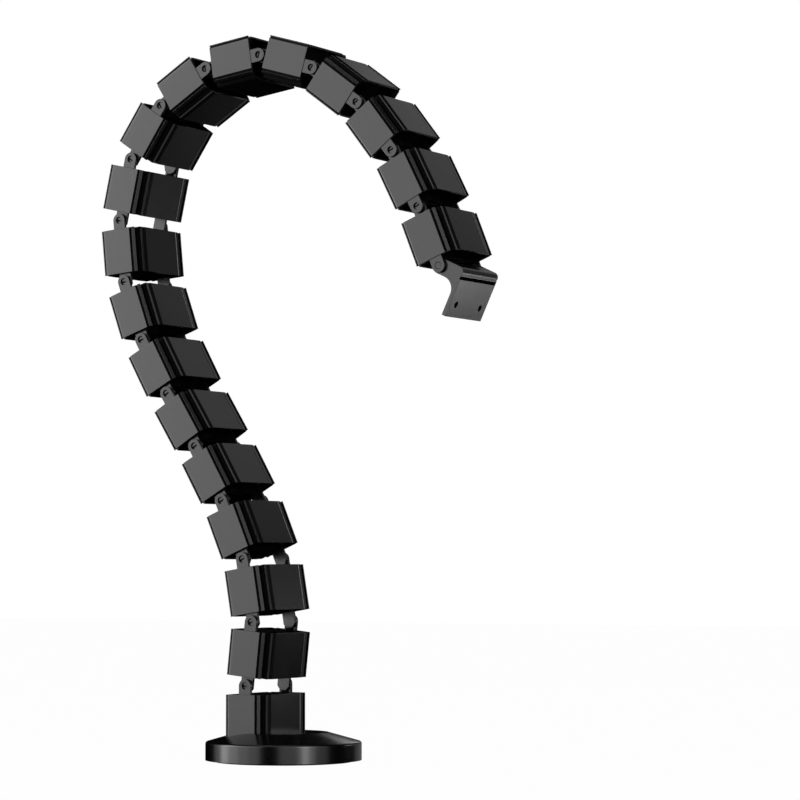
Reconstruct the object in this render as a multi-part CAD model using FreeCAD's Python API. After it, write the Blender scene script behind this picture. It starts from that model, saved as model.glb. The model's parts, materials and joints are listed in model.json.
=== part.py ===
import FreeCAD, Part

import math
import os

# Free-standing cable spine: a weighted round base, a chain of open rectangular
# links that snap together ear in ear, and an angle bracket at the top end.
# Millimetres. The origin is the centre of the footprint on the floor. +Z is up,
# +Y runs along every hinge pin and +X is the way the top of the hook leans.

# Link moulding
LINK_COUNT = 18
LINK_WIDTH = 80.0
LINK_DEPTH = 42.0
LINK_HEIGHT = 44.0
LINK_PITCH = 61.0
LINK_WALL = 2.0
LINK_CORNER_R = 5.0
SLIT_WIDTH = 2.8
SLIT_ANGLE = 35.0
GROOVE_WIDTH = 0.9
GROOVE_DEPTH = 0.5
NARROW_LIP = 9.6
WIDE_LIP = 8.5

# Ribs that tie the four walls together, and the hollow hub in the middle
RIB_THICKNESS = 1.8
HUB_LENGTH = 28.0
HUB_WIDTH = 8.0
HUB_WALL = 1.8

# Hinge ears and snap pins
EAR_WIDTH = 13.0
EAR_THICKNESS = 3.2
EAR_INSET = 0.8
EAR_SIDE_GAP = 0.4
EAR_ROOT = 9.0
EAR_TIP_HALF = 3.0
EAR_TIP_SHOULDER = 2.5
PIN_HOLE_R = 3.1
PIN_FIT = 0.08
PIN_RECESS = 0.3
PIN_BEVEL_ANGLE = 30.0

# Pose of the chain: the bend at each hinge, in degrees, clockwise as seen
# looking along +Y, from the fixed bottom link upwards
HINGE_BENDS = [
    6.0, -15.5, -13.5, -7.0, -2.0, 3.0, 9.5, 14.0, 18.0,
    21.5, 24.0, 23.5, 24.5, 20.5, 15.5, 11.0, 5.0,
]
BRACKET_BEND = -43.0

# Top bracket
BRACKET_REACH = 25.0
BRACKET_BACK = 7.5
BRACKET_FLANGE = 40.5
BRACKET_PLATE = 3.0
BRACKET_RIB = 4.2
BRACKET_FOLD_R = 5.0
BRACKET_CURVE_R = 12.0
WEB_START = 9.5
SCREW_HOLE_R = 2.1
SCREW_HOLE_SPACING = 48.0
SCREW_HOLE_EDGE = 12.5

# Base cover
BASE_R = 75.0
RIM_TOP = 19.0
PLATEAU_R = 43.0
PLATEAU_TOP = 28.0
COVER_WALL = 2.5
RIM_ROUND = 2.5
SOCKET_X = -20.0
SOCKET_FLOOR = 20.4
SOCKET_WALL = 3.0
SOCKET_FIT = 0.4
EAR_WELL_FIT = 0.4

# Base plate, weight, foot and screws
FOOT_HEIGHT = 1.5
FOOT_MARGIN = 6.0
PLATE_THICKNESS = 2.0
PLATE_FIT = 0.3
WEIGHT_THICKNESS = 12.0
WEIGHT_SIDE_GAP = 2.0
WEIGHT_LIFT = 0.3
BOSS_R = 4.0
BOSS_INSET = 13.0
BOSS_COUNT = 4
PILOT_R = 1.6
SCREW_SHANK_R = 1.5
SCREW_HEAD_R = 3.0
SCREW_LENGTH = 11.0
SCREW_HEAD_DEPTH = 1.5
SCREW_FIT = 0.3

# Worked out from the values above
BODY_LOW = (LINK_PITCH - LINK_HEIGHT) / 2
BODY_HIGH = BODY_LOW + LINK_HEIGHT
EAR_R = EAR_WIDTH / 2
UPPER_EAR_OUT = LINK_WIDTH / 2 - EAR_INSET
UPPER_EAR_IN = UPPER_EAR_OUT - EAR_THICKNESS
LOWER_EAR_OUT = UPPER_EAR_IN - EAR_SIDE_GAP
LOWER_EAR_IN = LOWER_EAR_OUT - EAR_THICKNESS
PIN_R = PIN_HOLE_R - PIN_FIT
PLATE_TOP = FOOT_HEIGHT + PLATE_THICKNESS
BOSS_CIRCLE_R = BASE_R - BOSS_INSET
FIRST_PIVOT_Z = SOCKET_FLOOR - BODY_LOW

AXIS_X = FreeCAD.Vector(1, 0, 0)
AXIS_Y = FreeCAD.Vector(0, 1, 0)
AXIS_Z = FreeCAD.Vector(0, 0, 1)


def box(x0, x1, y0, y1, z0, z1):
    """A block between two corners."""
    low = FreeCAD.Vector(x0, y0, z0)
    return Part.makeBox(x1 - x0, y1 - y0, z1 - z0, low)


def rounded_block(depth, width, radius, z0, z1):
    """An upright block centred on the Z axis, with its four corners rounded."""
    block = box(-depth / 2, depth / 2, -width / 2, width / 2, z0, z1)
    upright = [edge for edge in block.Edges if abs(edge.tangentAt(0).z) > 0.9]
    return block.makeFillet(radius, upright)


def pointed_block(length, width, z0, z1):
    """An upright six-sided block, long along Y, that narrows to a point at each end."""
    half = length / 2
    shoulder = half - width / 2
    corners = [
        (0, -half), (width / 2, -shoulder), (width / 2, shoulder),
        (0, half), (-width / 2, shoulder), (-width / 2, -shoulder), (0, -half),
    ]
    outline = Part.makePolygon([FreeCAD.Vector(x, y, z0) for x, y in corners])
    return Part.Face(outline).extrude(AXIS_Z * (z1 - z0))


def cross_pin(radius, y0, y1, z=0.0, x=0.0):
    """A round bar along Y."""
    return Part.makeCylinder(radius, y1 - y0, FreeCAD.Vector(x, y0, z), AXIS_Y)


def corner_slits():
    """The cable-entry slit at each corner of a link."""
    reach = 2 * LINK_CORNER_R
    cutters = []
    for side_x in (-1, 1):
        for side_y in (-1, 1):
            centre = FreeCAD.Vector(
                side_x * (LINK_DEPTH / 2 - LINK_CORNER_R),
                side_y * (LINK_WIDTH / 2 - LINK_CORNER_R),
                0,
            )
            cutter = box(
                -SLIT_WIDTH / 2, SLIT_WIDTH / 2, 0, reach, BODY_LOW, BODY_HIGH
            )
            turn = -SLIT_ANGLE if side_x * side_y > 0 else SLIT_ANGLE
            if side_y < 0:
                turn += 180
            cutter.rotate(FreeCAD.Vector(0, 0, 0), AXIS_Z, turn)
            cutter.translate(centre)
            cutters.append(cutter)
    return cutters


def lip_grooves():
    """The thin upright grooves where each wall turns into its springy lips."""
    cutters = []
    half_groove = GROOVE_WIDTH / 2
    for side in (-1, 1):
        face_x = side * LINK_DEPTH / 2
        face_y = side * LINK_WIDTH / 2
        for end in (-1, 1):
            x = end * (LINK_DEPTH / 2 - NARROW_LIP)
            y = end * (LINK_WIDTH / 2 - WIDE_LIP)
            cutters.append(box(
                x - half_groove, x + half_groove,
                face_y - GROOVE_DEPTH, face_y + GROOVE_DEPTH,
                BODY_LOW, BODY_HIGH,
            ))
            cutters.append(box(
                face_x - GROOVE_DEPTH, face_x + GROOVE_DEPTH,
                y - half_groove, y + half_groove,
                BODY_LOW, BODY_HIGH,
            ))
    return cutters


def link_tube():
    """The four-chamber tube: walls, cross ribs, hollow hub and corner slits."""
    outer = rounded_block(LINK_DEPTH, LINK_WIDTH, LINK_CORNER_R, BODY_LOW, BODY_HIGH)
    half_rib = RIB_THICKNESS / 2
    rib_x = LINK_DEPTH / 2 - LINK_WALL
    rib_y = LINK_WIDTH / 2 - LINK_WALL
    inner = box(-rib_x, rib_x, -rib_y, rib_y, BODY_LOW, BODY_HIGH)
    tube = outer.cut(inner)
    tube = tube.fuse([
        box(-half_rib, half_rib, -rib_y, rib_y, BODY_LOW, BODY_HIGH),
        box(-rib_x, rib_x, -half_rib, half_rib, BODY_LOW, BODY_HIGH),
        pointed_block(HUB_LENGTH, HUB_WIDTH, BODY_LOW, BODY_HIGH),
    ])
    end_wall = HUB_WALL * math.sqrt(2)
    hollow = pointed_block(
        HUB_LENGTH - 2 * end_wall, HUB_WIDTH - 2 * HUB_WALL, BODY_LOW, BODY_HIGH
    )
    return tube.cut([hollow] + corner_slits() + lip_grooves())


def upper_ear(side):
    """The outer ear at a link's top, half round about the upper pivot."""
    y0, y1 = sorted((side * UPPER_EAR_IN, side * UPPER_EAR_OUT))
    shank = box(-EAR_R, EAR_R, y0, y1, BODY_HIGH - EAR_ROOT, LINK_PITCH)
    return shank.fuse(cross_pin(EAR_R, y0, y1, LINK_PITCH))


def lower_ear(side):
    """The inner ear below a link, with its tip cut to a blunt wedge."""
    y0, y1 = sorted((side * LOWER_EAR_IN, side * LOWER_EAR_OUT))
    root = BODY_LOW + EAR_ROOT
    corners = [
        (-EAR_R, root), (EAR_R, root), (EAR_R, -EAR_TIP_SHOULDER),
        (EAR_TIP_HALF, -EAR_R), (-EAR_TIP_HALF, -EAR_R),
        (-EAR_R, -EAR_TIP_SHOULDER), (-EAR_R, root),
    ]
    outline = Part.makePolygon([FreeCAD.Vector(x, y0, z) for x, z in corners])
    plate = Part.Face(outline).extrude(AXIS_Y * (y1 - y0))
    y0, y1 = sorted((side * LOWER_EAR_OUT, side * (LINK_WIDTH - LINK_WALL) / 2))
    return plate.fuse(box(-EAR_R, EAR_R, y0, y1, BODY_LOW, root))


def snap_pin(side, y_from, z=0.0):
    """A stub pin that points outwards, with a bevelled lead-in at its tip."""
    tip = UPPER_EAR_OUT - PIN_RECESS
    y0, y1 = sorted((side * y_from, side * tip))
    pin = cross_pin(PIN_R, y0, y1, z)
    wedge = box(-2 * PIN_R, 2 * PIN_R, 0, 2 * PIN_R, 0, 2 * PIN_R)
    wedge.rotate(FreeCAD.Vector(0, 0, 0), AXIS_X, -PIN_BEVEL_ANGLE)
    if side < 0:
        wedge = wedge.mirror(FreeCAD.Vector(0, 0, 0), AXIS_Y)
    wedge.translate(FreeCAD.Vector(0, side * tip, z))
    return pin.cut(wedge)


def link():
    """One link, with its lower pivot at the origin and its tube along +Z."""
    shape = link_tube()
    additions = []
    holes = []
    for side in (-1, 1):
        additions += [upper_ear(side), lower_ear(side), snap_pin(side, LOWER_EAR_IN)]
        y0, y1 = sorted((side * UPPER_EAR_IN, side * UPPER_EAR_OUT))
        holes.append(cross_pin(PIN_HOLE_R, y0, y1, LINK_PITCH))
    return shape.fuse(additions).cut(holes).removeSplitter()


def bracket_outline():
    """The side outline of the bracket's cheeks, in the XZ plane."""
    point = FreeCAD.Vector
    corner_x = -BRACKET_BACK
    top = BRACKET_REACH
    rib_z = top - BRACKET_RIB
    fold_x = corner_x + BRACKET_FOLD_R
    fold_z = top - BRACKET_FOLD_R
    fold_in = BRACKET_FOLD_R * (1 - math.sqrt(0.5))
    curve_x = BRACKET_BACK + BRACKET_CURVE_R
    curve_z = rib_z - BRACKET_CURVE_R
    curve_in = BRACKET_CURVE_R * (1 - math.sqrt(0.5))
    end_x = BRACKET_FLANGE
    parts = [
        Part.LineSegment(point(corner_x, 0, 0), point(corner_x, 0, fold_z)),
        Part.Arc(
            point(corner_x, 0, fold_z),
            point(corner_x + fold_in, 0, top - fold_in),
            point(fold_x, 0, top),
        ),
        Part.LineSegment(point(fold_x, 0, top), point(end_x, 0, top)),
        Part.LineSegment(point(end_x, 0, top), point(end_x, 0, rib_z)),
        Part.LineSegment(point(end_x, 0, rib_z), point(curve_x, 0, rib_z)),
        Part.Arc(
            point(curve_x, 0, rib_z),
            point(BRACKET_BACK + curve_in, 0, rib_z - curve_in),
            point(BRACKET_BACK, 0, curve_z),
        ),
        Part.LineSegment(point(BRACKET_BACK, 0, curve_z), point(BRACKET_BACK, 0, 0)),
        Part.Arc(
            point(BRACKET_BACK, 0, 0),
            point(0, 0, -BRACKET_BACK),
            point(corner_x, 0, 0),
        ),
    ]
    return Part.Wire([part.toShape() for part in parts])


def bracket():
    """The folded angle bracket, with its pivot at the origin."""
    solid = Part.Face(bracket_outline()).extrude(AXIS_Y * (2 * LOWER_EAR_OUT))
    solid.translate(AXIS_Y * -LOWER_EAR_OUT)
    between = LOWER_EAR_OUT - EAR_THICKNESS
    inside_top = BRACKET_REACH - BRACKET_PLATE
    far = BRACKET_FLANGE + BRACKET_BACK
    hollow = box(
        -BRACKET_BACK + BRACKET_PLATE, far, -between, between, -far, inside_top
    )
    mouth = box(-far, far, -between, between, -far, WEB_START)
    groove_x = BRACKET_FOLD_R - BRACKET_BACK + GROOVE_WIDTH
    groove = box(
        groove_x, groove_x + GROOVE_WIDTH,
        -LOWER_EAR_OUT, LOWER_EAR_OUT,
        BRACKET_REACH - GROOVE_DEPTH, BRACKET_REACH + GROOVE_DEPTH,
    )
    cutters = [hollow, mouth, groove]
    for side in (-1, 1):
        foot = FreeCAD.Vector(
            BRACKET_FLANGE - SCREW_HOLE_EDGE, side * SCREW_HOLE_SPACING / 2, 0
        )
        cutters.append(Part.makeCylinder(SCREW_HOLE_R, 2 * BRACKET_REACH, foot))
    solid = solid.cut(cutters)
    pins = [snap_pin(side, LOWER_EAR_IN) for side in (-1, 1)]
    return solid.fuse(pins).removeSplitter()


def cover_dome():
    """The turned shell of the base: rounded rim, shallow cone and flat plateau."""
    point = FreeCAD.Vector
    inner_r = BASE_R - COVER_WALL
    slope = math.atan2(PLATEAU_TOP - RIM_TOP, BASE_R - PLATEAU_R)
    rim_turn = math.pi / 2 - slope
    rim_x = BASE_R - RIM_ROUND
    rim_z = RIM_TOP - RIM_ROUND * math.tan(rim_turn / 2)
    rim = [
        point(rim_x + RIM_ROUND * math.sin(turn), 0, rim_z + RIM_ROUND * math.cos(turn))
        for turn in (slope, slope + rim_turn / 2, math.pi / 2)
    ]
    corners = [
        rim[2],
        point(BASE_R, 0, FOOT_HEIGHT),
        point(inner_r, 0, FOOT_HEIGHT),
        point(inner_r, 0, RIM_TOP - COVER_WALL),
        point(PLATEAU_R, 0, PLATEAU_TOP - COVER_WALL),
        point(0, 0, PLATEAU_TOP - COVER_WALL),
        point(0, 0, PLATEAU_TOP),
        point(PLATEAU_R, 0, PLATEAU_TOP),
        rim[0],
    ]
    edges = [Part.Arc(*rim)]
    edges += [Part.LineSegment(a, b) for a, b in zip(corners, corners[1:])]
    outline = Part.Wire([edge.toShape() for edge in edges])
    return Part.Face(outline).revolve(point(0, 0, 0), AXIS_Z, 360)


def boss_places():
    """The screw bosses' places, evenly spaced round the base's centre."""
    turns = [2 * math.pi * index / BOSS_COUNT for index in range(BOSS_COUNT)]
    return [
        (BOSS_CIRCLE_R * math.cos(turn), BOSS_CIRCLE_R * math.sin(turn)) for turn in turns
    ]


def socket_half_sizes():
    """Half the outer depth and width of the socket block under the dome."""
    margin = SOCKET_FIT + SOCKET_WALL
    return LINK_DEPTH / 2 + margin, LINK_WIDTH / 2 + margin


def base_cover():
    """The plastic cover with the socket that the bottom link snaps into."""
    half_x, half_y = socket_half_sizes()
    block = box(
        SOCKET_X - half_x, SOCKET_X + half_x, -half_y, half_y, PLATE_TOP, PLATEAU_TOP
    )
    additions = [block.common(filled_dome())]
    for x, y in boss_places():
        base = FreeCAD.Vector(x, y, PLATE_TOP)
        boss = Part.makeCylinder(BOSS_R, PLATEAU_TOP - PLATE_TOP, base)
        additions.append(boss.common(filled_dome()))
    pocket = rounded_block(
        LINK_DEPTH + 2 * SOCKET_FIT, LINK_WIDTH + 2 * SOCKET_FIT,
        LINK_CORNER_R + SOCKET_FIT, SOCKET_FLOOR, 2 * PLATEAU_TOP,
    )
    pocket.translate(AXIS_X * SOCKET_X)
    cutters = [pocket]
    well_x = EAR_R + EAR_WELL_FIT
    for side in (-1, 1):
        y0, y1 = sorted((
            side * (LOWER_EAR_IN - EAR_WELL_FIT), side * (LOWER_EAR_OUT + EAR_SIDE_GAP)
        ))
        cutters.append(box(
            SOCKET_X - well_x, SOCKET_X + well_x, y0, y1, PLATE_TOP, SOCKET_FLOOR
        ))
        y0, y1 = sorted((side * LOWER_EAR_OUT, side * (half_y + COVER_WALL)))
        cutters.append(cross_pin(PIN_HOLE_R, y0, y1, FIRST_PIVOT_Z, SOCKET_X))
    for x, y in boss_places():
        base = FreeCAD.Vector(x, y, PLATE_TOP)
        cutters.append(Part.makeCylinder(PILOT_R, SCREW_LENGTH, base))
    return cover_dome().fuse(additions).cut(cutters).removeSplitter()


def filled_dome():
    """The cover's outside as one solid, to trim what stands under it."""
    point = FreeCAD.Vector
    inset = COVER_WALL / 2
    outline = Part.makePolygon([
        point(0, 0, PLATEAU_TOP - inset),
        point(PLATEAU_R, 0, PLATEAU_TOP - inset),
        point(BASE_R - inset, 0, RIM_TOP - inset),
        point(BASE_R - inset, 0, FOOT_HEIGHT),
        point(0, 0, FOOT_HEIGHT),
        point(0, 0, PLATEAU_TOP - inset),
    ])
    return Part.Face(outline).revolve(point(0, 0, 0), AXIS_Z, 360)


def base_plate():
    """The bottom plate that closes the cover, with sunk screw holes."""
    radius = BASE_R - COVER_WALL - PLATE_FIT
    plate = Part.makeCylinder(radius, PLATE_THICKNESS, FreeCAD.Vector(0, 0, FOOT_HEIGHT))
    cutters = []
    for x, y in boss_places():
        base = FreeCAD.Vector(x, y, FOOT_HEIGHT)
        head_r = SCREW_HEAD_R + SCREW_FIT
        shank_r = SCREW_SHANK_R + SCREW_FIT
        cutters.append(Part.makeCylinder(head_r, SCREW_HEAD_DEPTH, base))
        cutters.append(Part.makeCylinder(shank_r, PLATE_THICKNESS, base))
    return plate.cut(cutters)


def base_weight():
    """The steel ballast disc, cut away round the socket and the screw bosses."""
    low = PLATE_TOP + WEIGHT_LIFT
    radius = BASE_R - COVER_WALL - WEIGHT_SIDE_GAP
    disc = Part.makeCylinder(radius, WEIGHT_THICKNESS, FreeCAD.Vector(0, 0, low))
    half_x, half_y = socket_half_sizes()
    half_x += WEIGHT_LIFT
    half_y += WEIGHT_LIFT
    cutters = [box(
        SOCKET_X - half_x, SOCKET_X + half_x, -half_y, half_y,
        low, low + WEIGHT_THICKNESS,
    )]
    for x, y in boss_places():
        base = FreeCAD.Vector(x, y, low)
        cutters.append(Part.makeCylinder(BOSS_R + WEIGHT_LIFT, WEIGHT_THICKNESS, base))
    return disc.cut(cutters)


def foot_pad():
    """The thin rubber disc stuck under the bottom plate."""
    radius = BASE_R - COVER_WALL - PLATE_FIT - FOOT_MARGIN
    return Part.makeCylinder(radius, FOOT_HEIGHT)


def cover_screws():
    """The flat-headed screws that hold the plate to the cover's bosses."""
    screws = []
    for x, y in boss_places():
        base = FreeCAD.Vector(x, y, FOOT_HEIGHT)
        head = Part.makeCylinder(SCREW_HEAD_R, SCREW_HEAD_DEPTH, base)
        shank = Part.makeCylinder(SCREW_SHANK_R, SCREW_LENGTH, base)
        screws.append(head.fuse(shank).removeSplitter())
    return Part.makeCompound(screws)


def set_at(shape, x, z, heading):
    """A copy turned clockwise by its heading about Y and moved to its pivot."""
    placed = shape.copy()
    turn = FreeCAD.Rotation(AXIS_Y, heading)
    placed.Placement = FreeCAD.Placement(FreeCAD.Vector(x, 0, z), turn)
    return placed


def chain():
    """Every link and the bracket, each set on the pivot of the one before."""
    pieces = {}
    one_link = link()
    x, z, heading = SOCKET_X, FIRST_PIVOT_Z, 0.0
    bends = [0.0] + HINGE_BENDS[:LINK_COUNT - 1]
    for index, bend in enumerate(bends, start=1):
        heading += bend
        pieces[f"link_{index:02d}"] = set_at(one_link, x, z, heading)
        x += LINK_PITCH * math.sin(math.radians(heading))
        z += LINK_PITCH * math.cos(math.radians(heading))
    pieces["top_bracket"] = set_at(bracket(), x, z, heading + BRACKET_BEND)
    return pieces


def base():
    """The pieces of the weighted base."""
    return {
        "base_cover": base_cover(),
        "base_weight": base_weight(),
        "base_plate": base_plate(),
        "cover_screws": cover_screws(),
        "foot_pad": foot_pad(),
    }


def main():
    os.makedirs("parts", exist_ok=True)
    pieces = {**base(), **chain()}
    for name, shape in pieces.items():
        shape.exportStep(f"parts/{name}.step")
        print(name, shape.isValid(), len(shape.Solids), round(shape.Volume, 1))


main()
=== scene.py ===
import json
import math

import bmesh
import bpy
from mathutils import Matrix, Vector


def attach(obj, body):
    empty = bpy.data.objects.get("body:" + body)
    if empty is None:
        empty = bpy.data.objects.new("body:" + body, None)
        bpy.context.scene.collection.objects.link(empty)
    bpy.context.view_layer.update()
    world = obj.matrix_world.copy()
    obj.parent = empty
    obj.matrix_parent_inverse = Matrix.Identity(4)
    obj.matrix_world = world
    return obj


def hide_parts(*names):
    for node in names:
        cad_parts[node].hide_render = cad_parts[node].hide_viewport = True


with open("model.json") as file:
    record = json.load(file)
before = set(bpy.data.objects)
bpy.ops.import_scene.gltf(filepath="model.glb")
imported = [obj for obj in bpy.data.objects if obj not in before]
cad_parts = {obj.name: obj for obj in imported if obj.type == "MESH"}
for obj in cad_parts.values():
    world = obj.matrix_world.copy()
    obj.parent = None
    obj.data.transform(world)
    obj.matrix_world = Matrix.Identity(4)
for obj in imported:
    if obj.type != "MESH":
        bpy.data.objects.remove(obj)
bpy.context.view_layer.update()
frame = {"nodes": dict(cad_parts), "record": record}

bl_info = {
    "name": "Cable Spine",
    "version": (1, 0, 0),
    "blender": (4, 5, 0),
    "location": "View3D > Sidebar > Spine",
    "description": "Finishes for a weighted cable spine and its studio",
    "category": "Object",
}

MM = 0.001

# The link in millimetres, in its own frame: its lower pivot at 0, its length along Z.
HALF_DEPTH = 21.0
HALF_WIDTH = 40.0
BODY_LOW = 8.5
BODY_HIGH = 52.5
PITCH = 61.0
SINK = 0.2  # how far ribs and fins end inside the walls' height
RIB_END = 1.9  # from a wall's outer face, so that ribs and fins end inside the wall
EAR_R = 6.5
EAR_DROP = 17.5
OUTER_EAR = (HALF_WIDTH - 4.0, HALF_WIDTH - 0.8)  # its two faces across the link
EAR_ROOT = (HALF_WIDTH - 4.6, HALF_WIDTH - 1.4)
INNER_EAR = (HALF_WIDTH - 7.6, HALF_WIDTH - 4.4)
HOLE_R = 3.3
PIN_R = 3.02
PIN_START = HALF_WIDTH - 5.0
PIN_RECESS = 1.5
PIN_HEAD = 2.6  # length of the split head
SPLIT_ABOVE = 0.3  # from the pin's axis to the head's upper half
SPLIT_BELOW = 1.2  # from the pin's axis to the head's lower half
HUB = (28.0, 8.0)  # length and width
HUB_HOLLOW = (22.9, 4.4)
RIB_HALF = 0.9
FIN_EDGES = (5.4, 7.4)  # from the end wall's outer face
FIN_REACH = 7.4  # from the side wall's outer face
PAINTED_SHADE_DEPTH = 1.3  # faces deeper than this count as inside and get the painted shade
ROUNDED_ANGLE = 28  # degrees; edges sharper than this are rounded
SHARP_ANGLE = 11  # degrees; the shading breaks at edges sharper than this

# The chain: the first pivot, then each link's heading from upright, in degrees.
FIRST_PIVOT = (-20.0, 0.0, 11.9)
HEADINGS = (
    0, 6, -9.5, -23, -30, -32, -29, -19.5, -5.5, 12.5, 34, 58, 81.5, 106, 126.5, 142,
    153, 158,
)
FIRST_TURNED_LINK = 15  # from here on the lips are on the other hand
BRACKET_HEADING = 115.0
PAINTED_GROOVE_SHADE = (0.4, 3.8, 24.0)  # the painted shade in the fold's groove: start and end along the bracket, and its lowest level
PAINTED_HOLE_SHADE = (28.0, 24.0, 3.2)  # the painted shade in the screw holes: place along and across the bracket, and radius

# The studio: distances in metres, angles in degrees, brightness with white as 1.
STUDIO_CENTRE = (0.04, 0.0, 0.32)
FRONT_DISTANCE = 3.2
FRONT_HEIGHT = 2.8
FRONT_ELEVATION = 12.3
FRONT_LAMPS = (  # name, first and last azimuth, share of the key light
    ("left_edge", -104, -88, 0.1), ("left_far", -88, -74, 0.4),
    ("left_bright", -74, -56, 2.2), ("left_middle", -56, -38, 1.45),
    ("left_near", -38, -20, 1.0), ("left_inner", -20, -4, 0.75),
    ("right_near", 22, 50, 0.53), ("right_middle", 50, 57, 0.9),
    ("right_bright", 57, 67, 3.0), ("right_far", 67, 78, 1.1),
    ("right_edge", 78, 112, 0.35),
)
BACK_DISTANCE = 1.9
BACK_LAMPS = (  # name, brightness, size, azimuth, elevation
    ("back_right", 0.19, (0.4, 0.88), 152, 8), ("back_low", 0.24, (1.4, 0.8), 180, -8),
    ("back_left", 1.6, (0.42, 0.36), 197, 10),
)
LOW_CARD = ("low_card", 2.8, (0.28, 0.2), 156, -16, 1.0, (0.33, 0.0, 0.44))
FLAGS = (  # name, azimuths, elevations, distance
    ("front_flag", (-104, 112), (-40, 60), 3.6), ("back_flag", (98, 268), (-40, 75), 2.4),
    ("low_flag", (0, 360), (-88, -24), 2.0),
)
FLAG_STEP = 6  # degrees of azimuth to a column of a flag's faces
FLAG_ROWS = 8
FLAG_TONE = 0.004
FLOOR_HALF = 6.0
FLOOR_TONE = 0.4
FLOOR_GLOW = 0.985  # how far the floor shows as pure white, where it is seen
SENSOR_WIDTH = 36.0  # millimetres

NODES = frame["nodes"]
LINK_NODES = sorted(name for name in NODES if name.startswith("link_"))
NODE_BODY = {
    node: body
    for body, members in frame["record"]["behaviour"]["bodies"].items()
    for node in members
}


class Socket:
    """One output of a material's node tree, with arithmetic."""

    def __init__(self, tree, output):
        self.tree = tree
        self.output = output

    def _math(self, operation, first, second):
        node = self.tree.add(
            "ShaderNodeMath", {"operation": operation}, {0: first, 1: second}
        )
        return node["Value"]

    def __add__(self, other):
        return self._math("ADD", self, other)

    def __radd__(self, other):
        return self._math("ADD", other, self)

    def __sub__(self, other):
        return self._math("SUBTRACT", self, other)

    def __rsub__(self, other):
        return self._math("SUBTRACT", other, self)

    def __mul__(self, other):
        return self._math("MULTIPLY", self, other)

    def __rmul__(self, other):
        return self._math("MULTIPLY", other, self)

    def __gt__(self, other):
        return self._math("GREATER_THAN", self, other)


class Node:
    """A shader node whose outputs are read by name."""

    def __init__(self, tree, node):
        self.tree = tree
        self.node = node

    def __getitem__(self, name):
        return Socket(self.tree, self.node.outputs[name])


class Tree:
    """A material's or the world's node tree, emptied first unless it is kept."""

    def __init__(self, owner, keep=False):
        owner.use_nodes = True
        self.tree = owner.node_tree
        if not keep:
            self.tree.nodes.clear()

    def add(self, kind, settings=None, inputs=None):
        """A node of this type; settings go in first, then values or links."""
        node = self.tree.nodes.new(kind)
        for key, value in (settings or {}).items():
            setattr(node, key, value)
        for key, value in (inputs or {}).items():
            if isinstance(value, Socket):
                self.tree.links.new(value.output, node.inputs[key])
            else:
                node.inputs[key].default_value = value
        return Node(self, node)

    def mix_colour(self, factor, first, second):
        """A colour between two, by a factor."""
        node = self.add(
            "ShaderNodeMix", {"data_type": "RGBA"}, {0: factor, 6: first, 7: second}
        )
        return Socket(self, node.node.outputs[2])

    def ramp(self, value, low, high):
        """The value mapped so that low gives 0 and high gives 1, clamped."""
        node = self.add("ShaderNodeMapRange", {}, {
            "Value": value, "From Min": low, "From Max": high,
        })
        return node["Result"]


def grey(level):
    """An opaque grey of this linear level."""
    return (level, level, level, 1.0)


def moulded_plastic(name, settings):
    """Satin black plastic: a fine spark-eroded grain, flow tones and rubbed edges."""
    material = bpy.data.materials.new(name)
    tree = Tree(material)
    place = tree.add("ShaderNodeTexCoord")["Object"]
    grain = tree.add("ShaderNodeTexNoise", {}, {
        "Vector": place, "Scale": 1.0 / settings.grain_size, "Detail": 3.0,
        "Roughness": 0.6,
    })["Fac"]
    flow = tree.add("ShaderNodeTexNoise", {}, {
        "Vector": place, "Scale": 26.0, "Detail": 2.0, "Roughness": 0.5,
    })["Fac"]
    tone = tree.mix_colour(
        tree.ramp(flow, 0.35, 0.65), grey(settings.plastic * 0.9),
        grey(settings.plastic * 1.1),
    )
    rough = settings.plastic_roughness + (grain - 0.5) * 0.08 + (flow - 0.5) * 0.06
    rounded = tree.add("ShaderNodeBevel", {"samples": 4}, {
        "Radius": settings.edge_radius,
    })["Normal"]
    bump = tree.add("ShaderNodeBump", {}, {
        "Strength": 0.12, "Distance": 0.0001, "Height": grain, "Normal": rounded,
    })["Normal"]
    surface = tree.add("ShaderNodeBsdfPrincipled", {}, {
        "Base Color": tone, "Roughness": rough, "Normal": bump,
        "Specular IOR Level": settings.plastic_specular,
    })["BSDF"]
    tree.add("ShaderNodeOutputMaterial", {}, {"Surface": surface})
    return material


def painted_shade_plastic(name):
    """Painted shade for the links' insides: the same plastic, matt and deep black, in
    place of the shade within the walls.
    """
    material = bpy.data.materials.new(name)
    tree = Tree(material)
    place = tree.add("ShaderNodeTexCoord")["Object"]
    flow = tree.add("ShaderNodeTexNoise", {}, {
        "Vector": place, "Scale": 90.0, "Detail": 2.0,
    })["Fac"]
    surface = tree.add("ShaderNodeBsdfPrincipled", {}, {
        "Base Color": tree.mix_colour(flow, grey(0.001), grey(0.003)),
        "Roughness": 0.5 + flow * 0.1, "Specular IOR Level": 0.04,
    })["BSDF"]
    tree.add("ShaderNodeOutputMaterial", {}, {"Surface": surface})
    return material


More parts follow.
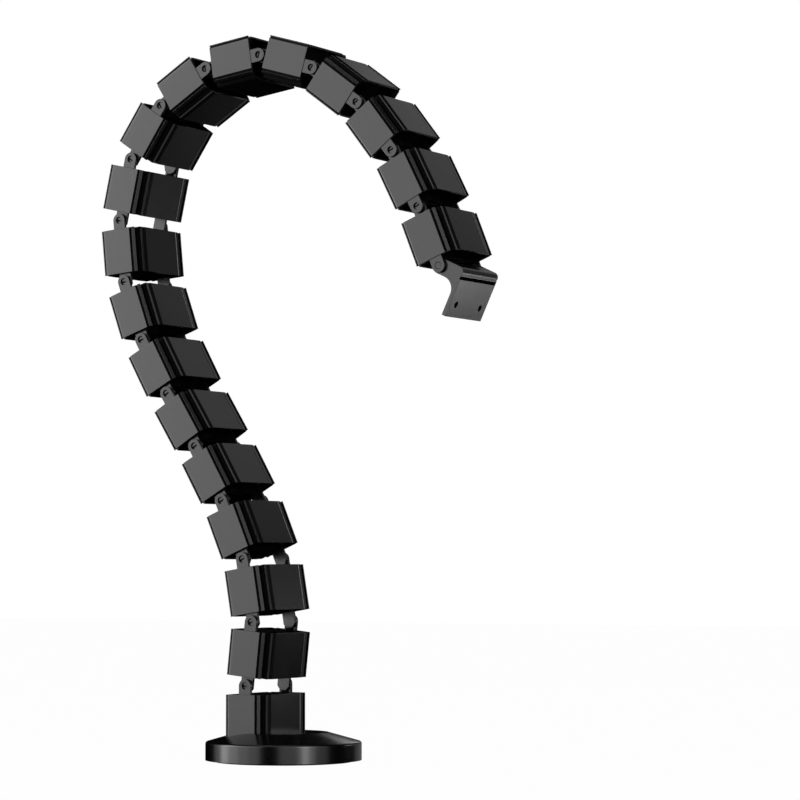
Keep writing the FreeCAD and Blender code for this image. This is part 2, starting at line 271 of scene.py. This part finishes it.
def bracket_plastic_painted_shade(name, settings, pivot):
    """The bracket's plastic, with painted shade, deep black, in the fold's groove and the
    screw holes.
    """
    material = moulded_plastic(name, settings)
    tree = Tree(material, keep=True)
    output = tree.tree.nodes["Material Output"]
    plastic = Socket(tree, output.inputs["Surface"].links[0].from_socket)
    local = tree.add("ShaderNodeSeparateXYZ", {}, {
        "Vector": tree.add("ShaderNodeMapping", {"vector_type": "TEXTURE"}, {
            "Vector": tree.add("ShaderNodeTexCoord")["Object"], "Location": pivot,
            "Rotation": (0.0, math.radians(BRACKET_HEADING), 0.0),
            "Scale": (MM, MM, MM),
        })["Vector"],
    })
    start, end, skin = PAINTED_GROOVE_SHADE
    painted_groove_shade = (local["X"] > start) * (end - local["X"] > 0.0) * (local["Z"] > skin)
    along, across, radius = PAINTED_HOLE_SHADE
    x = local["X"] - along
    y = tree.add("ShaderNodeMath", {"operation": "ABSOLUTE"}, {0: local["Y"]})["Value"]
    y = y - across
    painted_hole_shade = radius * radius - (x * x + y * y) > 0.0
    # painted shade: deep black where the fold's groove and the screw holes fall
    painted_shade_bsdf = tree.add("ShaderNodeBsdfDiffuse", {}, {"Color": grey(0.001)})["BSDF"]
    shader = tree.add("ShaderNodeMixShader", {}, {
        0: painted_groove_shade + painted_hole_shade > 0.5, 1: plastic, 2: painted_shade_bsdf,
    })["Shader"]
    tree.tree.links.new(shader.output, output.inputs["Surface"])
    return material


def gloss_cover(name, settings):
    """Polished black plastic with the faintest turned lines round the base."""
    material = bpy.data.materials.new(name)
    tree = Tree(material)
    place = tree.add("ShaderNodeTexCoord")["Object"]
    lines = tree.add("ShaderNodeTexNoise", {}, {
        "Vector": tree.add("ShaderNodeMapping", {}, {
            "Vector": place, "Scale": (2.0, 2.0, 900.0),
        })["Vector"],
        "Scale": 1.0, "Detail": 2.0,
    })["Fac"]
    haze = tree.add("ShaderNodeTexNoise", {}, {
        "Vector": place, "Scale": 18.0, "Detail": 3.0,
    })["Fac"]
    rough = settings.cover_roughness + (haze - 0.5) * 0.05
    rounded = tree.add("ShaderNodeBevel", {"samples": 4}, {
        "Radius": settings.edge_radius,
    })["Normal"]
    bump = tree.add("ShaderNodeBump", {}, {
        "Strength": 0.05, "Distance": 0.0001, "Height": lines, "Normal": rounded,
    })["Normal"]
    surface = tree.add("ShaderNodeBsdfPrincipled", {}, {
        "Base Color": grey(settings.cover), "Roughness": rough, "Normal": bump,
        "Specular IOR Level": settings.cover_specular,
    })["BSDF"]
    tree.add("ShaderNodeOutputMaterial", {}, {"Surface": surface})
    return material


def plain_metal(name, level, roughness, scale):
    """A dull metal with a fine uneven finish."""
    material = bpy.data.materials.new(name)
    tree = Tree(material)
    place = tree.add("ShaderNodeTexCoord")["Object"]
    spots = tree.add("ShaderNodeTexNoise", {}, {
        "Vector": place, "Scale": scale, "Detail": 4.0,
    })["Fac"]
    tone = tree.mix_colour(spots, grey(level * 0.8), grey(level * 1.2))
    surface = tree.add("ShaderNodeBsdfPrincipled", {}, {
        "Base Color": tone, "Metallic": 1.0, "Roughness": roughness + spots * 0.1,
    })["BSDF"]
    tree.add("ShaderNodeOutputMaterial", {}, {"Surface": surface})
    return material


def foot_rubber(name):
    """Matt black rubber with a pebbled skin."""
    material = bpy.data.materials.new(name)
    tree = Tree(material)
    place = tree.add("ShaderNodeTexCoord")["Object"]
    pebbles = tree.add("ShaderNodeTexVoronoi", {}, {
        "Vector": place, "Scale": 700.0,
    })["Distance"]
    bump = tree.add("ShaderNodeBump", {}, {
        "Strength": 0.3, "Distance": 0.0002, "Height": pebbles,
    })["Normal"]
    surface = tree.add("ShaderNodeBsdfPrincipled", {}, {
        "Base Color": tree.mix_colour(pebbles, grey(0.012), grey(0.022)),
        "Roughness": 0.8 + pebbles * 0.1, "Normal": bump,
    })["BSDF"]
    tree.add("ShaderNodeOutputMaterial", {}, {"Surface": surface})
    return material


def slab(mesh, outline, span, place):
    """A closed solid: an outline swept between two levels; place gives each corner."""
    rings = [[mesh.verts.new(place(u, v, w)) for u, v in outline] for w in span]
    mesh.faces.new(rings[0])
    mesh.faces.new(rings[1])
    for i in range(len(outline)):
        j = (i + 1) % len(outline)
        mesh.faces.new((rings[0][i], rings[0][j], rings[1][j], rings[1][i]))


def ring_slab(mesh, outer, inner, span, place):
    """A closed solid between two outlines of the same number of points."""
    rings = [
        [mesh.verts.new(place(u, v, w)) for u, v in outline]
        for w in span for outline in (outer, inner)
    ]
    for i in range(len(outer)):
        j = (i + 1) % len(outer)
        for one, other in ((0, 1), (1, 3), (3, 2), (2, 0)):
            a, b = rings[one], rings[other]
            mesh.faces.new((a[i], a[j], b[j], b[i]))


def arc(radius, start, end, steps):
    """Points on an arc about the lower pivot, its angles in degrees."""
    points = []
    for i in range(steps + 1):
        angle = math.radians(start + (end - start) * i / steps)
        points.append((radius * math.cos(angle), radius * math.sin(angle)))
    return points


def upright(turn):
    """Places a plan outline along the link; turn -1 sets it half a turn round."""
    return lambda u, v, w: (turn * u * MM, turn * v * MM, w * MM)


def sideways(side):
    """Places a side outline across the link, on the near (-1) or far (1) side."""
    return lambda u, v, w: (u * MM, side * w * MM, v * MM)


def narrow_wall():
    """Plan of the wall across the link's end, from the sharp corner to the free lip."""
    x, y = HALF_DEPTH, HALF_WIDTH
    return [
        (-x, 1.0 - y), (0.4 - x, 0.6 - y), (1.0 - x, 0.5 - y), (1.1 - x, 1.5 - y),
        (2.1 - x, 1.5 - y), (2.3 - x, 0.5 - y), (3.2 - x, 0.15 - y), (5.0 - x, -y),
        (x - 9.5, -y), (x - 9.4, 1.6 - y),
        (x - 7.1, 1.6 - y), (x - 6.9, 0.4 - y), (x - 4.2, 2.0 - y), (x - 5.0, 3.3 - y),
        (x - 7.4, 2.8 - y), (x - 10.0, 2.8 - y), (x - 11.0, 2.2 - y), (-x, 2.2 - y),
    ]


def wide_wall():
    """Plan of the wall along the link's side, with a free lip at each end."""
    x, y = HALF_DEPTH, HALF_WIDTH
    return [
        (x - 0.7, 7.0 - y), (x - 1.0, 10.6 - y), (x, 15.2 - y), (x, y - 11.0),
        (x - 0.5, y - 10.5), (x, y - 10.0), (x - 0.3, y - 5.4), (x - 2.2, y - 5.4),
        (x - 2.0, y - 12.0), (x - 2.0, 16.0 - y), (x - 2.8, 10.6 - y), (x - 2.6, 6.4 - y),
    ]


def ear_outlines():
    """The upper ear's outline about its pivot, and its hole's, point for point."""
    outer, hole = [], []
    corner = math.degrees(math.atan2(EAR_DROP, EAR_R))
    for angle in sorted([i * 10.0 for i in range(36)] + [180 + corner, 360 - corner]):
        c, s = math.cos(math.radians(angle)), math.sin(math.radians(angle))
        reach = EAR_R
        if s < 0:
            reach = min(EAR_R / max(abs(c), 1e-9), EAR_DROP / -s)
        outer.append((c * reach, PITCH + s * reach))
        hole.append((c * HOLE_R, PITCH + s * HOLE_R))
    return outer, hole


def add_ears(mesh, side):
    """Outer ear with its hole above, inner ear with its split snap pin below."""
    outer, hole = ear_outlines()
    ring_slab(mesh, outer, hole, OUTER_EAR, sideways(side))
    tongue = [
        (-EAR_R, BODY_LOW + 9), (EAR_R, BODY_LOW + 9), (EAR_R, -2.5), (3, -EAR_R),
        (-3, -EAR_R), (-EAR_R, -2.5),
    ]
    slab(mesh, tongue, INNER_EAR, sideways(side))
    root = [
        (-EAR_R, BODY_LOW + 0.4), (EAR_R, BODY_LOW + 0.4), (EAR_R, BODY_LOW + 8.6),
        (-EAR_R, BODY_LOW + 8.6),
    ]
    slab(mesh, root, EAR_ROOT, sideways(side))
    tip = OUTER_EAR[1] - PIN_RECESS
    shank = arc(PIN_R, 0, 350, 35)
    slab(mesh, shank, (PIN_START, tip - PIN_HEAD + 0.2), sideways(side))
    start = math.degrees(math.asin(SPLIT_ABOVE / PIN_R))
    upper = arc(PIN_R, start, 180 - start, 18)
    start = math.degrees(math.asin(SPLIT_BELOW / PIN_R))
    lower = arc(PIN_R, 180 + start, 360 - start, 16)
    slab(mesh, upper, (tip - PIN_HEAD, tip), sideways(side))
    slab(mesh, lower, (tip - PIN_HEAD, tip - 0.35), sideways(side))


def add_core(mesh):
    """The hollow pointed hub and the four ribs that join it to the walls."""
    span = (BODY_LOW + SINK, BODY_HIGH - SINK)
    hubs = []
    for length, width in (HUB, HUB_HOLLOW):
        x, y = width / 2, length / 2
        hubs.append([
            (0, -y), (x, x - y), (x, 0), (x, y - x), (0, y), (-x, y - x), (-x, 0),
            (-x, x - y),
        ])
    ring_slab(mesh, hubs[0], hubs[1], span, upright(1))
    half = RIB_HALF
    for turn in (1, -1):
        low, high = HUB[0] / 2 - 0.8, HALF_WIDTH - RIB_END
        long_rib = [(-half, low), (half, low), (half, high), (-half, high)]
        slab(mesh, long_rib, span, upright(turn))
        low, high = HUB[1] / 2 - 0.5, HALF_DEPTH - RIB_END
        short_rib = [(low, -half), (high, -half), (high, half), (low, half)]
        slab(mesh, short_rib, span, upright(turn))


def add_fins(mesh, turn):
    """The fins in the two corners at one end, which hold a pressed-in cable."""
    inner, outer = HALF_DEPTH - FIN_REACH, HALF_DEPTH - RIB_END
    near, far = (edge - HALF_WIDTH for edge in FIN_EDGES)
    for low, high in ((inner, outer), (-outer, -inner)):
        fin = [(low, near), (high, near), (high, far), (low, far)]
        slab(mesh, fin, (BODY_LOW + SINK, BODY_HIGH - SINK), upright(turn))


def soften(mesh, width):
    """Rounds every sharp edge of the moulding."""
    bmesh.ops.recalc_face_normals(mesh, faces=mesh.faces)
    sharp = [
        edge for edge in mesh.edges
        if len(edge.link_faces) == 2
        and edge.calc_face_angle(0) > math.radians(ROUNDED_ANGLE)
    ]
    bmesh.ops.bevel(
        mesh, geom=sharp, offset=width, offset_type="OFFSET", segments=2, profile=0.5,
        affect="EDGES", clamp_overlap=True,
    )


def paint_inside_shade(data):
    """Gives the second material, the painted shade, to every face that lies inside the
    link's walls.
    """
    for face in data.polygons:
        x, y, z = (value / MM for value in face.center)
        across = max(abs(x) - HALF_DEPTH, abs(y) - HALF_WIDTH)
        if across < -PAINTED_SHADE_DEPTH and BODY_LOW < z < BODY_HIGH:
            face.material_index = 1


def link_mesh(settings):
    """The mesh of one link, in its own frame, with its lower pivot at the origin."""
    mesh = bmesh.new()
    for turn in (1, -1):
        slab(mesh, narrow_wall(), (BODY_LOW, BODY_HIGH), upright(turn))
        slab(mesh, wide_wall(), (BODY_LOW, BODY_HIGH), upright(turn))
        add_fins(mesh, turn)
        add_ears(mesh, turn)
    add_core(mesh)
    soften(mesh, settings.edge_radius)
    data = bpy.data.meshes.new("link_moulding")
    mesh.to_mesh(data)
    mesh.free()
    data.shade_smooth()
    data.set_sharp_from_angle(angle=math.radians(SHARP_ANGLE))
    data.materials.append(moulded_plastic("link_plastic", settings))
    # the second material is painted shade for the faces inside the walls
    data.materials.append(painted_shade_plastic("link_painted_shade_plastic"))
    paint_inside_shade(data)
    return data


def link_places():
    """Each link's node, its mesh's matrix and its hand; then the top end's pivot."""
    pivot = Vector(FIRST_PIVOT) * MM
    places = []
    for number, (node, heading) in enumerate(zip(LINK_NODES, HEADINGS), 1):
        turn = Matrix.Rotation(math.radians(heading), 4, "Y")
        hand = -1 if number >= FIRST_TURNED_LINK else 1
        mirror = Matrix.Scale(hand, 4, (1, 0, 0))
        places.append((node, Matrix.Translation(pivot) @ turn @ mirror, hand))
        pivot = pivot + turn.to_3x3() @ Vector((0, 0, PITCH * MM))
    return places, pivot


def wear(node, material):
    """Gives a carried-over node this material in every slot."""
    piece = NODES[node]
    if not piece.data.materials:
        piece.data.materials.append(material)
    for slot in piece.material_slots:
        slot.material = material


class SpineFinish(bpy.types.PropertyGroup):
    """Tones and finishes of the spine."""

    plastic: bpy.props.FloatProperty(
        name="Plastic tone", description="Linear grey of the moulded links",
        default=0.004, min=0.0, max=1.0,
    )
    plastic_roughness: bpy.props.FloatProperty(
        name="Plastic roughness", description="How satin the links are",
        default=0.24, min=0.0, max=1.0,
    )
    plastic_specular: bpy.props.FloatProperty(
        name="Plastic specular", description="Strength of the links' sheen",
        default=0.66, min=0.0, max=1.0,
    )
    grain_size: bpy.props.FloatProperty(
        name="Grain size", description="Size of the mould's spark grain",
        default=0.0006, unit="LENGTH",
    )
    edge_radius: bpy.props.FloatProperty(
        name="Edge radius", description="Softening of every moulded edge",
        default=0.0004, unit="LENGTH",
    )
    cover: bpy.props.FloatProperty(
        name="Cover tone", description="Linear grey of the base cover",
        default=0.001, min=0.0, max=1.0,
    )
    cover_roughness: bpy.props.FloatProperty(
        name="Cover roughness", description="How glossy the base cover is",
        default=0.22, min=0.0, max=1.0,
    )
    cover_specular: bpy.props.FloatProperty(
        name="Cover specular", description="Strength of the cover's gloss",
        default=0.6, min=0.0, max=1.0,
    )


class SpineStudio(bpy.types.PropertyGroup):
    """Camera and lights."""

    distance: bpy.props.FloatProperty(
        name="Camera distance", description="From the camera to the point it looks at",
        default=2.97, unit="LENGTH",
    )
    azimuth: bpy.props.FloatProperty(
        name="Azimuth", description="Camera's turn from looking along +Y",
        default=math.radians(28.714), subtype="ANGLE",
    )
    elevation: bpy.props.FloatProperty(
        name="Elevation", description="Camera's height above the level, as an angle",
        default=math.radians(-2.93), subtype="ANGLE",
    )
    target: bpy.props.FloatVectorProperty(
        name="Target", description="The point that the camera looks at",
        default=(0.1273, 0.0, 0.3438), subtype="TRANSLATION",
    )
    lens: bpy.props.FloatProperty(
        name="Lens", description="Focal length for a 36 mm wide sensor, in millimetres",
        default=141.4,
    )
    key_light: bpy.props.FloatProperty(
        name="Key light", description="Brightness that the front lamps share, white is 1",
        default=2.1, min=0.0,
    )
    back_light: bpy.props.FloatProperty(
        name="Back light", description="Brightness of the high lamp behind, white is 1",
        default=0.3, min=0.0,
    )
    room: bpy.props.FloatProperty(
        name="Room", description="Strength of the even light of the room",
        default=0.15, min=0.0, max=1.0,
    )


class SPINE_OT_links(bpy.types.Operator):
    """Mould every link, with its free lips, ears and split pins"""

    bl_idname = "spine.links"
    bl_label = "Links"

    def execute(self, context):
        settings = context.scene.spine_finish
        moulding = link_mesh(settings)
        for node, matrix, hand in link_places()[0]:
            shape = moulding.copy()
            shape.transform(matrix)
            if hand < 0:
                shape.flip_normals()
            piece = bpy.data.objects.new(node.replace("link", "moulding"), shape)
            context.scene.collection.objects.link(piece)
            even = piece.modifiers.new("even_shading", "WEIGHTED_NORMAL")
            even.keep_sharp = True
            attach(piece, NODE_BODY[node])
            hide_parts(node)
        return {"FINISHED"}


class SPINE_OT_bracket(bpy.types.Operator):
    """Finish the angle bracket as satin moulded plastic, with painted shade in the fold's
    groove and the screw holes
    """

    bl_idname = "spine.bracket"
    bl_label = "Bracket"

    def execute(self, context):
        settings = context.scene.spine_finish
        pivot = link_places()[1]
        wear("top_bracket", bracket_plastic_painted_shade("bracket_plastic_painted_shade", settings, pivot))
        return {"FINISHED"}


class SPINE_OT_base(bpy.types.Operator):
    """Finish the base cover, its plate, ballast, screws and foot"""

    bl_idname = "spine.base"
    bl_label = "Base"

    def execute(self, context):
        settings = context.scene.spine_finish
        wear("base_cover", gloss_cover("cover_gloss", settings))
        wear("base_plate", moulded_plastic("plate_plastic", settings))
        wear("base_weight", plain_metal("ballast_steel", 0.18, 0.5, 120.0))
        wear("cover_screws", plain_metal("screw_zinc", 0.45, 0.3, 400.0))
        wear("foot_pad", foot_rubber("foot_rubber"))
        return {"FINISHED"}


def around(azimuth, elevation, distance, centre=STUDIO_CENTRE):
    """The point at this distance from the spine; azimuth 0 is towards -Y."""
    turn, rise = math.radians(azimuth), math.radians(elevation)
    return Vector(centre) + distance * Vector((
        math.sin(turn) * math.cos(rise), -math.cos(turn) * math.cos(rise), math.sin(rise),
    ))


def softbox(name, level, size, azimuth, elevation, distance, centre=STUDIO_CENTRE):
    """A soft rectangular lamp that faces the spine and stays out of the picture."""
    data = bpy.data.lights.new(name, "AREA")
    data.shape = "RECTANGLE"
    data.size, data.size_y = size
    data.energy = level * math.pi * size[0] * size[1]
    lamp = bpy.data.objects.new(name, data)
    lamp.location = around(azimuth, elevation, distance, centre)
    facing = Vector(centre) - lamp.location
    lamp.rotation_euler = facing.to_track_quat("-Z", "Y").to_euler()
    lamp.visible_camera = False
    bpy.context.scene.collection.objects.link(lamp)


def black_flag(name, material, azimuths, elevations, distance):
    """A curved black cloth that the gloss sees and the camera doesn't."""
    steps = (azimuths[1] - azimuths[0]) // FLAG_STEP
    rows = FLAG_ROWS
    mesh = bpy.data.meshes.new(name)
    points, faces = [], []
    for i in range(steps + 1):
        azimuth = azimuths[0] + (azimuths[1] - azimuths[0]) * i / steps
        for j in range(rows + 1):
            rise = elevations[0] + (elevations[1] - elevations[0]) * j / rows
            points.append(around(azimuth, rise, distance))
            if i and j:
                here = i * (rows + 1) + j
                faces.append((here, here - 1, here - rows - 2, here - rows - 1))
    mesh.from_pydata(points, [], faces)
    mesh.materials.append(material)
    flag = bpy.data.objects.new(name, mesh)
    flag.visible_camera = False
    flag.visible_shadow = False
    bpy.context.scene.collection.objects.link(flag)


def seen_white(tree):
    """1 where the camera, a gloss or a glass looks, else 0."""
    path = tree.add("ShaderNodeLightPath")
    seen = path["Is Camera Ray"] + path["Is Glossy Ray"] + path["Is Transmission Ray"]
    return seen > 0.5


class SPINE_OT_stage(bpy.types.Operator):
    """Set the floor, the room, the lights and the camera"""

    bl_idname = "spine.stage"
    bl_label = "Stage"

    def execute(self, context):
        settings = context.scene.spine_studio
        self.make_room(context.scene, settings)
        self.make_floor()
        self.make_camera(context.scene, settings)
        self.make_lamps(settings)
        self.make_flags()
        context.scene.view_settings.view_transform = "Standard"
        return {"FINISHED"}

    def make_lamps(self, settings):
        """Strips in front that the two front faces mirror, and small lamps behind."""
        for name, start, end, share in FRONT_LAMPS:
            width = 2 * FRONT_DISTANCE * math.tan(math.radians(end - start) / 2)
            softbox(
                name, settings.key_light * share, (width, FRONT_HEIGHT),
                (start + end) / 2, FRONT_ELEVATION, FRONT_DISTANCE,
            )
        softbox("back_box", settings.back_light, (1.2, 0.8), 178, 30, BACK_DISTANCE)
        for lamp in BACK_LAMPS:
            softbox(*lamp, BACK_DISTANCE)
        softbox(*LOW_CARD)

    def make_flags(self):
        """Black cloths behind the lamps, so that the plastic mirrors no white room."""
        cloth = bpy.data.materials.new("flag_cloth")
        tree = Tree(cloth)
        black = tree.add("ShaderNodeBsdfDiffuse", {}, {"Color": grey(FLAG_TONE)})["BSDF"]
        tree.add("ShaderNodeOutputMaterial", {}, {"Surface": black})
        for name, azimuths, elevations, distance in FLAGS:
            black_flag(name, cloth, azimuths, elevations, distance)

    def make_room(self, scene, settings):
        """A white room where it is seen, which lights the spine only a little."""
        world = bpy.data.worlds.new("room")
        scene.world = world
        tree = Tree(world)
        white = seen_white(tree)
        strength = settings.room + white * (1.0 - settings.room)
        light = tree.add("ShaderNodeBackground", {}, {
            "Color": grey(1.0), "Strength": strength,
        })["Background"]
        tree.add("ShaderNodeOutputWorld", {}, {"Surface": light})

    def make_floor(self):
        """A floor that is seen as white and leaves a faint shade under the base."""
        half = FLOOR_HALF
        mesh = bpy.data.meshes.new("floor")
        corners = [(-half, -half, 0), (half, -half, 0), (half, half, 0), (-half, half, 0)]
        mesh.from_pydata(corners, [], [(0, 1, 2, 3)])
        floor = bpy.data.objects.new("floor", mesh)
        floor.visible_glossy = False
        bpy.context.scene.collection.objects.link(floor)
        material = bpy.data.materials.new("floor_paint")
        tree = Tree(material)
        paint = tree.add("ShaderNodeBsdfDiffuse", {}, {"Color": grey(FLOOR_TONE)})["BSDF"]
        glow = tree.add("ShaderNodeEmission", {}, {"Color": grey(1.0)})["Emission"]
        shader = tree.add("ShaderNodeMixShader", {}, {
            0: seen_white(tree) * FLOOR_GLOW, 1: paint, 2: glow,
        })["Shader"]
        tree.add("ShaderNodeOutputMaterial", {}, {"Surface": shader})
        mesh.materials.append(material)

    def make_camera(self, scene, settings):
        """The photo's camera, set by its distance and angles from the target."""
        turn, rise = settings.azimuth, settings.elevation
        away = Vector((
            math.sin(turn) * math.cos(rise), -math.cos(turn) * math.cos(rise),
            math.sin(rise),
        ))
        target = Vector(settings.target)
        data = bpy.data.cameras.new("camera")
        data.lens = settings.lens
        data.sensor_width = SENSOR_WIDTH
        camera = bpy.data.objects.new("camera", data)
        camera.location = target + away * settings.distance
        camera.rotation_euler = (-away).to_track_quat("-Z", "Y").to_euler()
        scene.collection.objects.link(camera)
        scene.camera = camera


class SPINE_PT_panel(bpy.types.Panel):
    """Lists the pieces of the spine"""

    bl_idname = "SPINE_PT_panel"
    bl_label = "Cable Spine"
    bl_space_type = "VIEW_3D"
    bl_region_type = "UI"
    bl_category = "Spine"

    def draw(self, context):
        for operator in OPERATORS:
            self.layout.operator(operator.bl_idname)


OPERATORS = (SPINE_OT_links, SPINE_OT_bracket, SPINE_OT_base, SPINE_OT_stage)
CLASSES = (SpineFinish, SpineStudio) + OPERATORS + (SPINE_PT_panel,)


def register():
    for item in CLASSES:
        bpy.utils.register_class(item)
    bpy.types.Scene.spine_finish = bpy.props.PointerProperty(type=SpineFinish)
    bpy.types.Scene.spine_studio = bpy.props.PointerProperty(type=SpineStudio)


def unregister():
    del bpy.types.Scene.spine_studio
    del bpy.types.Scene.spine_finish
    for item in reversed(CLASSES):
        bpy.utils.unregister_class(item)


def main():
    register()
    bpy.ops.spine.links()
    bpy.ops.spine.bracket()
    bpy.ops.spine.base()
    bpy.ops.spine.stage()


if __name__ == "__main__":
    main()
